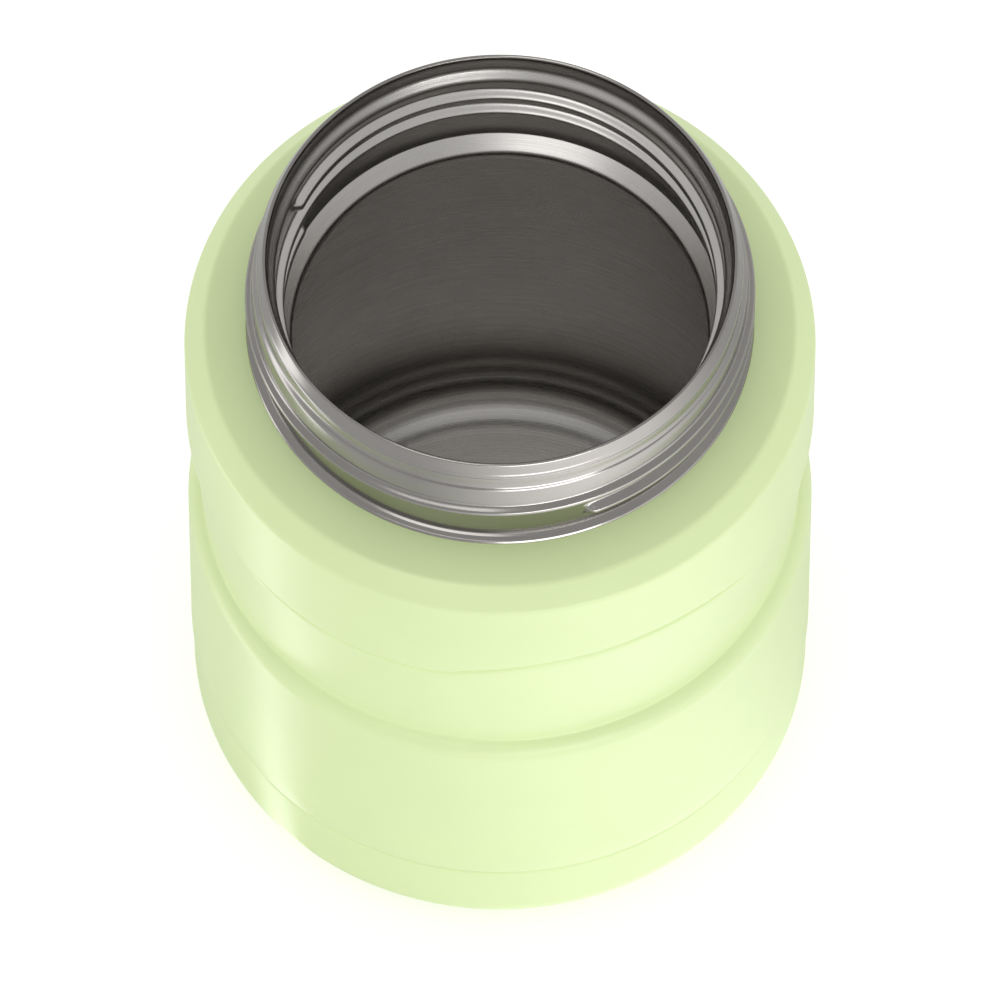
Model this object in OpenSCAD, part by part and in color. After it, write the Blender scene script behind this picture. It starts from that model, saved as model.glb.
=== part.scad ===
// Insulated food jar: a double-walled steel vessel with an open threaded neck.
// Millimetres, +Z up, origin at the middle of the underside, front towards -Y.

/* [Barrel] */
// Outside diameter of the painted barrel
body_d = 95; // [90:0.5:106]
// Thickness of the barrel's sheet
shell_t = 0.6; // [0.4:0.05:0.9]
// Height of the seam between barrel and base cup
seam_h = 17.3; // [15:0.1:24]
// Height of the plain wall between seam and band
lower_h = 38.1; // [28:0.1:60]
// Height of the plain wall between band and shoulder edge
upper_h = 19.4; // [14:0.1:34]

/* [Recessed band] */
// Height of the band round the middle
band_h = 23.4; // [16:0.1:34]
// Depth of the band at its lower edge
band_depth = 2.2; // [1:0.1:2.8]
// Depth of the band just under its upper edge
band_top_depth = 0.6; // [0.3:0.05:0.9]
// Radius of the ledge below the band
ledge_r = 3.5; // [2.8:0.1:5]
// How far the badge panel's arch rises above the band
arch_h = 4; // [2:0.1:6]
// Half the angle that the badge panel's arch spans
arch_half_angle = 31; // [20:1:45]
// Turn of the badge panel from the front towards +X
arch_turn = 20; // [-90:1:90]

/* [Shoulder] */
// Width of the bevel at the shoulder's edge
bevel_w = 3; // [2:0.1:4]
// Height of the bevel at the shoulder's edge
bevel_h = 3.3; // [2:0.1:4.5]
// Rise of the shoulder from the bevel to the neck
crown_h = 1.7; // [1:0.1:4]

/* [Neck] */
// Inside diameter of the mouth at the lip
mouth_d = 69.8; // [64:0.1:74]
// Height of the neck above the shoulder
neck_h = 19.1; // [17.5:0.1:26]
// Wall of the outer neck collar
collar_t = 0.8; // [0.6:0.05:1]
// Width of the neck from the mouth to the outer thread's root
neck_w = 2.1; // [1.95:0.05:2.6]
// Height of the bead that sits on the shoulder
bead_h = 3.1; // [2.4:0.1:4]
// How far the bead stands out from the thread's root
bead_w = 1.2; // [0.8:0.05:1.6]
// Thickness of the liner's rolled lip
lip_h = 1.2; // [1:0.1:1.4]

/* [Lid thread] */
// Pitch of the outer thread
lid_pitch = 4.1; // [3.4:0.1:4.6]
// Height of the outer thread's ridge
lid_depth = 1.1; // [0.7:0.05:1.4]
// Turns of the outer thread
lid_turns = 1.9; // [1:0.1:1.9]
// Turn of the outer thread's start from the front towards +X
lid_start_turn = 20; // [-180:1:180]
// Height of the outer thread's start above the shoulder
lid_start_h = 5.2; // [5:0.1:5.6]

/* [Stopper thread] */
// Pitch of the inner thread
stopper_pitch = 4.2; // [3.4:0.1:4.3]
// Height of the inner thread's ridge
stopper_depth = 1; // [0.6:0.05:1.2]
// Turns of the inner thread
stopper_turns = 2; // [1:0.1:2]
// Turn of the inner thread's start from the front towards +X
stopper_start_turn = -115; // [-180:1:180]
// Height of the inner thread's start above the stopper seat
stopper_start_h = 4; // [3.2:0.1:4]
// How far the mouth narrows below the lip to the inner thread's root
throat_step = 1.25; // [1:0.05:1.8]

/* [Liner] */
// Thickness of the liner's sheet
liner_t = 0.5; // [0.4:0.05:0.7]
// Gap between the liner and the inside of the band
vacuum_gap = 3; // [2:0.1:5]
// Depth of the neck from the lip to the stopper seat
seat_depth = 20; // [19.4:0.1:24]
// How far the stopper seat narrows the throat
seat_w = 2.2; // [1.4:0.1:3]
// Height of the sloped stopper seat
seat_h = 2.1; // [1.6:0.1:4]
// Height of the liner's own shoulder under the seat
liner_shoulder_h = 8.5; // [6:0.1:12]
// Radius between the liner's wall and bottom
liner_corner_r = 9; // [6:0.1:14]

/* [Base] */
// Step between the barrel and the smaller base cup
seam_step = 0.3; // [0.1:0.05:0.6]
// Thickness of the base cup's sheet
base_t = 0.8; // [0.5:0.05:1]
// Radius of the base cup's lower edge
base_r = 6.5; // [4:0.1:6.8]
// Width of the foot ring that the jar stands on
foot_w = 6; // [4:0.1:9]
// Depth of the stamped recess inside the foot ring
foot_recess = 1.5; // [0.8:0.1:1.8]
// Height of the barrel's lower end above the ground
spigot_z = 7; // [6.9:0.1:8]
// Height of the closing plate's turned-up rim
plate_rim_h = 4; // [2.5:0.1:4.5]
// Thickness of the closing plate
plate_t = 0.8; // [0.5:0.05:1]

/* [Vacuum parts] */
// Diameter of the evacuation well in the closing plate
well_d = 11; // [9:0.1:14]
// Depth of the evacuation well
well_depth = 2; // [1.5:0.1:2.4]
// Diameter of the evacuation hole
vent_d = 2.4; // [1.5:0.1:3]
// Diameter of the getter pellet
getter_d = 9; // [6:0.1:12]
// Height of the getter pellet
getter_h = 1.8; // [1.2:0.1:2]
// Distance of the getter pellet from the middle
getter_offset = 22; // [18:0.5:26]
// Thickness of the getter's clip
clip_t = 0.3; // [0.2:0.05:0.4]
// Width of the getter's clip
clip_w = 4; // [3:0.1:5]
// Gap between the closing plate and the liner's foil
floor_gap = 4; // [3:0.1:8]
// Thickness of the copper foil
foil_t = 0.2; // [0.1:0.05:0.3]
// Clearance between pieces that slide into each other
fit_gap = 0.05; // [0.02:0.01:0.1]

/* [Hidden] */
$fn = 96;

// Heights of the barrel, from the ground up
band_z = seam_h + lower_h;
crease_z = band_z + band_h;
edge_z = crease_z + upper_h;
bevel_z = edge_z + bevel_h;
crown_z = bevel_z + crown_h;
lip_z = crown_z + neck_h;

// Radii of the barrel
body_r = body_d / 2;
band_r = body_r - band_depth;
band_top_r = body_r - band_top_depth;
base_cup_r = body_r - seam_step;
spigot_r = base_cup_r - base_t - fit_gap;

// Radii and steps of the neck
mouth_r = mouth_d / 2;
collar_r = mouth_r + neck_w;
bead_r = collar_r + bead_w;
bead_round = 0.5;
collar_top_z = lip_z - lip_h;
collar_top_in = 1;
collar_swell = 0.45;
collar_swell_z = lip_z - 6.2;
skirt_h = 2.4;
land_w = 0.4;
skirt_r = collar_r - 0.1;

// Liner
liner_r = band_r - shell_t - vacuum_gap - liner_t;
throat_r = mouth_r - throat_step;
throat_top_z = lip_z - 5.7;
mouth_wall_h = 2.9;
lip_round = 0.4;
seat_z = lip_z - seat_depth;
seat_low_z = seat_z - seat_h;
seat_r = throat_r - seat_w;
liner_wall_z = seat_low_z - liner_shoulder_h;
plate_z = spigot_z + plate_t;
foil_z = plate_z + floor_gap;
liner_floor_z = foil_z + foil_t + liner_t;
liner_join_z = liner_floor_z + liner_corner_r;
foil_corner_gap = 0.5;

// Threads
ridge_step = 6;
ridge_embed = 0.25;
lid_ridge_w = 2.6;
lid_crest_w = 0.9;
lid_fade = 0.35;
stopper_ridge_w = 2.6;
stopper_crest_w = 0.9;

// Quarter-round stretch of an outline, from angle a0 to a1
function arc(r, z, radius, a0, a1, steps = 8) =
    [for (i = [0:steps]) let (a = a0 + (a1 - a0) * i / steps)
        [r + radius * cos(a), z + radius * sin(a)]];

// Direction square to the step from p to q
function step_normal(p, q) = [p[1] - q[1], q[0] - p[0]] / norm(q - p);

// Outline moved sideways by d, with its corners kept sharp
function moved(points, d) =
    let (last = len(points) - 1)
    [for (i = [0:last])
        let (n0 = step_normal(points[max(0, i - 1)], points[max(1, i)]),
             n1 = step_normal(points[min(last - 1, i)], points[min(last, i + 1)]))
        points[i] + (n0 + n1) * d / (1 + n0 * n1)];

// Radius of the band's cone at height z
function band_cone(z) = band_r + (band_top_r - band_r) * (z - band_z) / band_h;

// Angle at which the ledge's round meets the band
ledge_angle = acos((ledge_r - band_depth) / ledge_r);
ledge_z = band_z - ledge_r * sin(ledge_angle);

// Outline closed along the axis
function closed(points) =
    concat([[0, points[0][1]]], points, [[0, points[len(points) - 1][1]]]);

// Outline of the lower barrel and the band's cone, moved inwards by d
function band_outline(d, low_z) =
    let (top_z = crease_z + arch_h + d + 1)
    closed(moved(concat([[body_r, low_z]],
                        arc(body_r - ledge_r, ledge_z, ledge_r, 0, ledge_angle),
                        [[band_cone(top_z), top_z]]), d));

// Outline of the upper barrel and the shoulder, moved inwards by d
function shoulder_outline(d) = closed(moved([
    [body_r, crease_z + d],
    [body_r, edge_z - 0.7],
    [body_r - 0.2, edge_z + 0.1],
    [body_r - bevel_w * 0.2, edge_z + bevel_h * 0.2],
    [body_r - bevel_w * 0.87, bevel_z - bevel_h * 0.13],
    [body_r - bevel_w - 0.7, bevel_z + 0.2],
    [bead_r + land_w, crown_z]], d));

// Upright slab whose upper edge is the badge panel's arch, and dips below the band's top at its ends
module arch_slab(d) {
    w = (body_r - d) * sin(arch_half_angle) + d;
    rise = arch_h + d;
    steps = 11;
    top = [for (i = [-steps:steps]) let (t = abs(i) == steps ? 1.08 : 0.95 * abs(i) / (steps - 1))
        [sign(i) * w * t, crease_z + rise * (1 - pow(t, 2.5))]];
    rotate([0, 0, arch_turn])
        rotate([90, 0, 0])
            linear_extrude(height = body_r + 2)
                polygon(concat([[w * 1.08, crease_z - 2], [-w * 1.08, crease_z - 2]], top));
}

// Solid form of the barrel with its band and badge panel, moved inwards by d
module barrel_form(d, low_z) {
    rotate_extrude() polygon(band_outline(d, low_z));
    difference() {
        rotate_extrude() polygon(shoulder_outline(d));
        arch_slab(d);
    }
}

// Painted barrel: shoulder, recessed band and the spigot for the base cup
module outer_shell() {
    color("#cfe3a4")
    difference() {
        union() {
            barrel_form(0, seam_h);
            translate([0, 0, spigot_z]) cylinder(r = spigot_r, h = seam_h - spigot_z + 0.3);
        }
        barrel_form(shell_t, seam_h + shell_t);
        translate([0, 0, spigot_z - 1])
            cylinder(r = spigot_r - shell_t, h = seam_h - spigot_z + shell_t + 1.5);
        translate([0, 0, crown_z - 3]) cylinder(r = skirt_r + fit_gap, h = 6);
    }
}

// Section of a ridge: u runs away from the wall from inside it, v along the axis
function ridge_section(depth, base_w, crest_w) =
    let (foot = base_w / 2 + ridge_embed * (base_w - crest_w) / (2 * depth))
    [[-ridge_embed, -foot], [depth, -crest_w / 2], [depth, crest_w / 2], [-ridge_embed, foot]];

// Helical ridge on a wall: side is 1 outwards and -1 inwards, fade thins its last turn
module helical_ridge(root_r, side, pitch, turns, start_a, start_z, depth, base_w, crest_w, fade) {
    rings = ceil(turns * 360 / ridge_step);
    function end_scale(i, low) = low + (1 - low) * min(1, min(i, rings - i) / 1.5);
    function fade_scale(i) = 1 - (1 - fade) * max(0, min(1, (i * ridge_step - 360) / 90));
    points = [for (i = [0:rings])
        let (turn = i * ridge_step, a = start_a + turn, z = start_z + pitch * turn / 360)
        each [for (p = ridge_section(depth, base_w, crest_w))
            let (u = p[0] > 0 ? p[0] * end_scale(i, 0.3) * fade_scale(i) : p[0], r = root_r + side * u)
            [r * cos(a), r * sin(a), z + p[1] * end_scale(i, 0.5)]]];
    quads = [for (i = [0:rings - 1], k = [0:3]) let (n = (k + 1) % 4)
        [i * 4 + k, i * 4 + n, (i + 1) * 4 + n, (i + 1) * 4 + k]];
    faces = concat(quads, [[3, 2, 1, 0]], [[for (k = [0:3]) rings * 4 + k]]);
    polyhedron(points, side < 0 ? [for (f = faces) [for (k = [3:-1:0]) f[k]]] : faces);
}

// Bare steel collar: bead on the shoulder, lid thread and plain upper wall
module neck_collar() {
    outline = concat(
        [[skirt_r - collar_t, crown_z - skirt_h], [skirt_r, crown_z - skirt_h], [skirt_r, crown_z]],
        arc(bead_r - bead_round, crown_z + bead_round, bead_round, -90, 0, 4),
        arc(bead_r - bead_round, crown_z + bead_h - bead_round, bead_round, 0, 90, 4),
        [[collar_r, crown_z + bead_h], [collar_r, collar_swell_z - 1.5],
         [collar_r + collar_swell, collar_swell_z],
         [collar_r + 0.1, collar_swell_z + 1.7], [collar_r - 0.45, collar_swell_z + 3.1],
         [collar_r - 0.7, collar_top_z - 0.7], [collar_r - collar_top_in, collar_top_z],
         [collar_r - collar_top_in - 0.5, collar_top_z],
         [skirt_r - collar_t, collar_top_z - 2.4]]);
    color("#a9a5a1")
    union() {
        rotate_extrude() polygon(outline);
        helical_ridge(collar_r, 1, lid_pitch, lid_turns, lid_start_turn - 90,
                      crown_z + lid_start_h, lid_depth, lid_ridge_w, lid_crest_w, lid_fade);
    }
}

// Inner side of the liner as an outline from the lip down
function liner_outline() = [
    [mouth_r, lip_z - lip_h],
    [mouth_r, lip_z - mouth_wall_h],
    [throat_r + 0.35, throat_top_z + 0.8],
    [throat_r, throat_top_z],
    [throat_r, seat_z],
    [seat_r, seat_low_z + 0.6],
    [seat_r, seat_low_z - 0.8],
    [liner_r - 2, liner_wall_z + 2.2],
    [liner_r - 0.6, liner_wall_z + 0.8],
    [liner_r, liner_wall_z - 0.8],
    [liner_r, liner_join_z]];

// Bare steel liner: rolled lip, stopper thread, seat and vessel wall
module liner() {
    inside = liner_outline();
    outside = moved(inside, liner_t);
    flange_r = collar_r - collar_top_in;
    lip_out = min(lip_h - 0.1, flange_r - mouth_r - lip_round);
    lip = concat(
        [[mouth_r, lip_z - lip_h]],
        arc(mouth_r + lip_round, lip_z - lip_round, lip_round, 180, 90, 4),
        arc(flange_r - lip_out, lip_z - lip_out, lip_out, 78, 0, 5),
        [[flange_r, lip_z - lip_h]]);
    color("#b5b0ac")
    union() {
        rotate_extrude()
            polygon(concat([for (i = [len(inside) - 1:-1:0]) inside[i]],
                           [for (i = [1:len(lip) - 1]) lip[i]], outside));
        helical_ridge(throat_r, -1, stopper_pitch, stopper_turns, stopper_start_turn - 90,
                      seat_z + stopper_start_h, stopper_depth, stopper_ridge_w, stopper_crest_w, 1);
    }
}

// Dished bottom that closes the liner, butt-welded to its wall
module liner_bottom() {
    corner = liner_corner_r;
    color("#b5b0ac")
    rotate_extrude()
        polygon(concat(
            [[0, liner_floor_z]],
            arc(liner_r - corner, liner_join_z, corner, -90, 0),
            arc(liner_r - corner, liner_join_z, corner + liner_t, 0, -90),
            [[0, liner_floor_z - liner_t]]));
}

// Copper foil wrapped round the liner's wall
module foil_wrap() {
    r = liner_r + liner_t + fit_gap;
    color("#c07a4a")
    translate([0, 0, liner_join_z])
    difference() {
        cylinder(r = r + foil_t, h = liner_wall_z - 2 - liner_join_z);
        translate([0, 0, -1]) cylinder(r = r, h = liner_wall_z - liner_join_z);
    }
}

// Copper foil under the liner's bottom
module foil_disc() {
    color("#c07a4a")
    translate([0, 0, foil_z]) cylinder(r = liner_r - liner_corner_r - foil_corner_gap, h = foil_t);
}

// Closing plate of the vacuum space, with its evacuation well
module shell_bottom() {
    r = spigot_r - shell_t - fit_gap;
    well_r = well_d / 2;
    color("#9d9a96")
    difference() {
        union() {
            translate([0, 0, spigot_z]) cylinder(r = r, h = plate_rim_h);
            translate([0, 0, spigot_z - well_depth]) cylinder(r = well_r + plate_t, h = well_depth);
        }
        translate([0, 0, plate_z]) cylinder(r = r - plate_t, h = plate_rim_h);
        translate([0, 0, spigot_z - well_depth - 1]) cylinder(r = well_r, h = well_depth + 1);
        translate([0, 0, spigot_z - 1]) cylinder(d = vent_d, h = plate_t + 2);
    }
}

// Solder bead that closes the evacuation hole from below
module vacuum_seal() {
    bead = min(well_d / 2 - 1, vent_d * 1.4);
    color("#8f8f93")
    translate([0, 0, spigot_z]) {
        mirror([0, 0, 1]) cylinder(r1 = bead, r2 = bead * 0.6, h = well_depth * 0.6);
        cylinder(d = vent_d - 2 * fit_gap, h = plate_t);
    }
}

// Getter pellet on the closing plate
module getter() {
    color("#55585c")
    translate([getter_offset, 0, plate_z]) cylinder(d = getter_d, h = getter_h);
}

// Strap that holds the getter pellet down
module getter_clip() {
    span = getter_d / 2 + fit_gap;
    tab = 4;
    color("#b9bcc0")
    translate([getter_offset, 0, plate_z]) {
        for (side = [-1, 1]) {
            translate([-clip_w / 2, side < 0 ? -span - clip_t : span, 0])
                cube([clip_w, clip_t, getter_h + clip_t]);
            translate([-clip_w / 2, side < 0 ? -span - tab : span, 0])
                cube([clip_w, tab, clip_t]);
        }
        translate([-clip_w / 2, -span - clip_t, getter_h])
            cube([clip_w, 2 * (span + clip_t), clip_t]);
    }
}

// Painted base cup with its foot ring and stamped recess
module base_cup() {
    foot_r = base_cup_r - base_r;
    inner = foot_r - foot_w;
    color("#cfe3a4")
    rotate_extrude()
        polygon(concat(
            [[0, foot_recess], [inner - foot_recess, foot_recess], [inner, 0]],
            arc(foot_r, base_r, base_r, -90, 0),
            [[base_cup_r, seam_h], [base_cup_r - base_t, seam_h]],
            arc(foot_r, base_r, base_r - base_t, 0, -90),
            [[inner, base_t], [inner - foot_recess, foot_recess + base_t],
             [0, foot_recess + base_t]]));
}

outer_shell();
neck_collar();
liner();
liner_bottom();
foil_wrap();
foil_disc();
shell_bottom();
vacuum_seal();
getter();
getter_clip();
base_cup();
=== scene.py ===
"""Visible pieces, finishes and studio of an open insulated food jar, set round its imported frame."""

import math

import bpy
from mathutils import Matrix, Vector


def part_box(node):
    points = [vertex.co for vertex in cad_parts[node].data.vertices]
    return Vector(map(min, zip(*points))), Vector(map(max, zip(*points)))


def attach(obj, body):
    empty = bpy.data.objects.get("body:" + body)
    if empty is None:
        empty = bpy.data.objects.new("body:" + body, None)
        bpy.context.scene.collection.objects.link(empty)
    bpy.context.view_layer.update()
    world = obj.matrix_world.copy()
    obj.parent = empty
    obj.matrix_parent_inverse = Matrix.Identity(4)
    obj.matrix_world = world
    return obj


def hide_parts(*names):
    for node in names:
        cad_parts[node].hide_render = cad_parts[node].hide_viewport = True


bl_info = {
    "name": "Insulated Food Jar",
    "version": (1, 0, 0),
    "blender": (4, 5, 0),
    "location": "View3D > Sidebar > Food Jar",
    "description": "Builds the visible pieces of an open double-walled steel food jar",
    "category": "Add Mesh",
}

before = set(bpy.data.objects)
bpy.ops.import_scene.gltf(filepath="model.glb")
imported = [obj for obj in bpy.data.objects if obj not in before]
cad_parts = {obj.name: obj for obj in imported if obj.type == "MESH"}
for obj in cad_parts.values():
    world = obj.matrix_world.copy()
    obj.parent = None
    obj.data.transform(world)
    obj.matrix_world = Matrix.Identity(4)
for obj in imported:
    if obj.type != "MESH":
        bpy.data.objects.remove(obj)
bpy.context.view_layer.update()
BARREL_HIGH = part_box("outer_shell")[1]
MM = 0.001

# Steps round the axis in the painted pieces, and in the steel ones
PAINTED_STEPS = 288
STEEL_STEPS = 360


# ---------------------------------------------------------------- settings


class JarSizes(bpy.types.PropertyGroup):
    """Sizes of the visible pieces, each equal to its value in the solid model."""

    barrel_r: bpy.props.FloatProperty(
        name="Barrel radius",
        description="Outside radius of the painted barrel",
        default=min(BARREL_HIGH.x, BARREL_HIGH.y),
        unit="LENGTH",
    )
    seam_z: bpy.props.FloatProperty(
        name="Seam height",
        description="Height of the seam between barrel and base cup",
        default=17.3 * MM,
        unit="LENGTH",
    )
    band_z: bpy.props.FloatProperty(
        name="Band height",
        description="Height of the recessed band's lower edge",
        default=55.4 * MM,
        unit="LENGTH",
    )
    band_depth: bpy.props.FloatProperty(
        name="Band depth",
        description="Depth of the band at its lower edge",
        default=2.2 * MM,
        unit="LENGTH",
    )
    crease_z: bpy.props.FloatProperty(
        name="Crease height",
        description="Height of the crease where the band meets the upper wall",
        default=78.8 * MM,
        unit="LENGTH",
    )
    crease_depth: bpy.props.FloatProperty(
        name="Crease depth",
        description="Depth of the band just under the crease",
        default=0.6 * MM,
        unit="LENGTH",
    )
    ledge_r: bpy.props.FloatProperty(
        name="Ledge radius",
        description="Radius of the rolled ledge below the band",
        default=3.5 * MM,
        unit="LENGTH",
    )
    arch_rise: bpy.props.FloatProperty(
        name="Arch rise",
        description="How far the badge panel's arch lifts the crease",
        default=4.0 * MM,
        unit="LENGTH",
    )
    arch_half_turn: bpy.props.FloatProperty(
        name="Arch half width",
        description="Half the angle that the badge panel's arch spans",
        default=math.radians(31),
        unit="ROTATION",
    )
    arch_turn: bpy.props.FloatProperty(
        name="Arch turn",
        description="Turn of the badge panel from the front towards +X",
        default=math.radians(20),
        unit="ROTATION",
    )
    edge_z: bpy.props.FloatProperty(
        name="Shoulder edge height",
        description="Height of the top of the barrel's plain wall",
        default=98.2 * MM,
        unit="LENGTH",
    )
    bevel_w: bpy.props.FloatProperty(
        name="Bevel width",
        description="Width of the bevel at the shoulder's edge",
        default=3.0 * MM,
        unit="LENGTH",
    )
    bevel_h: bpy.props.FloatProperty(
        name="Bevel height",
        description="Height of the bevel at the shoulder's edge",
        default=3.3 * MM,
        unit="LENGTH",
    )
    crown_z: bpy.props.FloatProperty(
        name="Crown height",
        description="Height at which the shoulder meets the neck",
        default=103.2 * MM,
        unit="LENGTH",
    )
    bead_r: bpy.props.FloatProperty(
        name="Bead radius",
        description="Outside radius of the bead at the foot of the neck",
        default=38.2 * MM,
        unit="LENGTH",
    )
    collar_r: bpy.props.FloatProperty(
        name="Collar radius",
        description="Radius of the neck at the outer thread's root",
        default=37.0 * MM,
        unit="LENGTH",
    )
    lip_z: bpy.props.FloatProperty(
        name="Lip height",
        description="Height of the top of the lip",
        default=122.3 * MM,
        unit="LENGTH",
    )
    mouth_r: bpy.props.FloatProperty(
        name="Mouth radius",
        description="Inside radius of the mouth at the lip",
        default=34.9 * MM,
        unit="LENGTH",
    )
    throat_r: bpy.props.FloatProperty(
        name="Throat radius",
        description="Radius of the mouth at the inner thread's root",
        default=33.65 * MM,
        unit="LENGTH",
    )
    seat_r: bpy.props.FloatProperty(
        name="Seat radius",
        description="Inside radius of the stopper seat",
        default=31.45 * MM,
        unit="LENGTH",
    )
    liner_r: bpy.props.FloatProperty(
        name="Liner radius",
        description="Inside radius of the food vessel",
        default=41.2 * MM,
        unit="LENGTH",
    )
    liner_floor_z: bpy.props.FloatProperty(
        name="Liner floor height",
        description="Height of the food vessel's floor",
        default=12.5 * MM,
        unit="LENGTH",
    )
    liner_corner_r: bpy.props.FloatProperty(
        name="Liner corner radius",
        description="Radius between the food vessel's wall and floor",
        default=9.0 * MM,
        unit="LENGTH",
    )
    base_r: bpy.props.FloatProperty(
        name="Base radius",
        description="Outside radius of the base cup",
        default=47.2 * MM,
        unit="LENGTH",
    )
    base_corner_r: bpy.props.FloatProperty(
        name="Base corner radius",
        description="Radius of the base cup's lower edge",
        default=6.5 * MM,
        unit="LENGTH",
    )


class JarFinishes(bpy.types.PropertyGroup):
    """Colours of the jar's paint and metals, in linear light."""

    paint: bpy.props.FloatVectorProperty(
        name="Paint",
        description="Colour of the satin enamel on the barrel and base cup",
        default=(0.765, 0.905, 0.485),
        subtype="COLOR",
        size=3,
        min=0.0,
        max=1.0,
    )
    # Painted shade: the neck's steel is the liner's turned steel made darker, to stand in for the
    # darker reflections on the outside of the neck
    neck_steel_shaded: bpy.props.FloatVectorProperty(
        name="Neck steel",
        description="Colour of the turned steel neck",
        default=(0.345, 0.33, 0.315),
        subtype="COLOR",
        size=3,
        min=0.0,
        max=1.0,
    )
    liner_steel: bpy.props.FloatVectorProperty(
        name="Liner steel",
        description="Colour of the turned steel liner",
        default=(0.64, 0.62, 0.60),
        subtype="COLOR",
        size=3,
        min=0.0,
        max=1.0,
    )
    copper: bpy.props.FloatVectorProperty(
        name="Copper",
        description="Colour of the foil between the walls",
        default=(0.80, 0.37, 0.20),
        subtype="COLOR",
        size=3,
        min=0.0,
        max=1.0,
    )


# ---------------------------------------------------------------- fixed sizes

# Barrel: its sheet, the play and height of its lower end inside the base cup, and its rolled
# edge over the seam
BARREL_SHEET = 0.6 * MM
SPIGOT_PLAY = 0.05 * MM
SPIGOT_Z = 7 * MM
SEAM_ROLL = 0.28 * MM

# Edge over the band: its radius, the step left under it, and how far its foot is below the
# crease's height
CREASE_ROLL = 1.2 * MM
CREASE_STEP = 0.06 * MM
CREASE_DROP = 0.4 * MM

# Fine groove in the band's wall just under that edge
GROOVE_DEPTH = 0.5 * MM
GROOVE_HEIGHT = 1.6 * MM

# Badge panel's arch: the power of its curve, and the shares of its half width at which the curve
# gives way to a run-out and at which the run-out ends
ARCH_POWER = 2.5
ARCH_RUN_OUT = 0.94
ARCH_END = 1.12

# Base cup: the open seam above it, its sheet, the ring that it stands on and the recess inside it
SEAM_GAP = 0.45 * MM
CUP_SHEET = 0.8 * MM
FOOT_WIDTH = 6 * MM
RECESS_SLOPE = 2.2 * MM
RECESS_DEPTH = 1.5 * MM

# Neck: its wall at the thread's root, and how far it reaches down inside the shoulder
NECK_WALL = 0.9 * MM
NECK_SKIRT = 2.4 * MM

# Height between the points of a wall that carries a thread
WALL_PITCH = 0.16 * MM

# Neck's outer wall: depth below the lip's top, and how far the wall stands out there from the
# thread's root, in mm
NECK_SWELL = (
    (1.1, -1.06),
    (1.5, -0.90),
    (1.75, -0.80),
    (2.0, -0.66),
    (2.25, -0.59),
    (2.5, -0.565),
    (3.3, -0.54),
    (4.1, -0.53),
    (4.6, -0.50),
    (4.9, -0.40),
    (5.2, -0.19),
    (5.45, -0.04),
    (5.7, 0.05),
    (6.3, 0.10),
    (7.3, 0.16),
    (8.3, 0.22),
    (9.2, 0.27),
    (9.8, 0.26),
    (10.4, 0.18),
    (11.0, 0.07),
    (11.5, 0.0),
    (16.3, 0.0),
)

# How far the liner's lip laps down over the neck, and the thickness that it takes there
LIP_HEM = 2.5 * MM
LIP_SKIN = 0.12 * MM

# Lip's rolled top: how far out from the mouth and how far below the lip's top, in mm
LIP_ROLL = (
    (0.02, 0.70),
    (0.06, 0.45),
    (0.14, 0.24),
    (0.25, 0.08),
    (0.39, 0.0),
    (0.52, 0.04),
    (0.63, 0.16),
    (0.72, 0.33),
    (0.80, 0.53),
    (0.90, 0.75),
    (0.98, 0.95),
)

# Liner: its sheet, and the depths below the lip between which the mouth narrows to the throat
LINER_SHEET = 0.5 * MM
MOUTH_DEPTH = 2.6 * MM
THROAT_DEPTH = 5.2 * MM

# Stopper seat: its depth below the lip, its height, and the rise of the vessel's shoulder below it
SEAT_DEPTH = 20 * MM
SEAT_HEIGHT = 2.1 * MM
LINER_SHOULDER = 8.5 * MM


# ---------------------------------------------------------------- modelling helpers


def deselect():
    """Leaves nothing selected, so that an operator acts only on the next piece."""
    bpy.ops.object.select_all(action="DESELECT")


def soften(corners, turn):
    """Outline points from (radius, height, fillet) corners, each fillet an arc.

    turn is about the angle, in degrees, that each straight piece of an arc spans.
    """
    points = []
    for i, (r, z, fillet) in enumerate(corners):
        here = Vector((r, z))
        if fillet <= 0 or i in (0, len(corners) - 1):
            points.append((r, z))
            continue
        back = (Vector(corners[i - 1][:2]) - here).normalized()
        ahead = (Vector(corners[i + 1][:2]) - here).normalized()
        half = back.angle(ahead) / 2
        reach = fillet / math.tan(half)
        centre = here + (back + ahead).normalized() * fillet / math.sin(half)
        first = here + back * reach - centre
        sweep = math.pi - 2 * half
        side = 1 if first.y * back.x > first.x * back.y else -1
        count = max(2, round(math.degrees(sweep) / turn))
        for k in range(count + 1):
            a = side * sweep * k / count
            points.append(
                (
                    centre.x + first.x * math.cos(a) - first.y * math.sin(a),
                    centre.y + first.x * math.sin(a) + first.y * math.cos(a),
                )
            )
    return points


def climb(r, low, high, pitch):
    """Evenly spaced outline points straight up a wall, its ends left out."""
    count = max(1, round((high - low) / pitch))
    return [(r, low + (high - low) * k / count) for k in range(1, count)]


def turn_outline(name, outline, steps):
    """Spins a closed outline of (radius, height) points about the axis into one closed piece."""
    deselect()
    bpy.ops.mesh.primitive_circle_add(vertices=len(outline), radius=1, location=(0, 0, 0))
    piece = bpy.context.object
    piece.name = piece.data.name = name
    for vertex, (r, z) in zip(piece.data.vertices, outline):
        vertex.co = (max(r, 0.0), 0.0, z)
    bpy.ops.object.mode_set(mode="EDIT")
    bpy.ops.mesh.select_all(action="SELECT")
    bpy.ops.mesh.spin(
        steps=steps, angle=math.tau, center=(0, 0, 0), axis=(0, 0, 1), use_auto_merge=True
    )
    bpy.ops.mesh.select_all(action="SELECT")
    bpy.ops.mesh.remove_doubles(threshold=0.002 * MM)
    bpy.ops.mesh.delete_loose(use_verts=True, use_edges=True, use_faces=False)
    bpy.ops.mesh.select_all(action="SELECT")
    bpy.ops.mesh.normals_make_consistent(inside=False)
    bpy.ops.object.mode_set(mode="OBJECT")
    return piece


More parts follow.
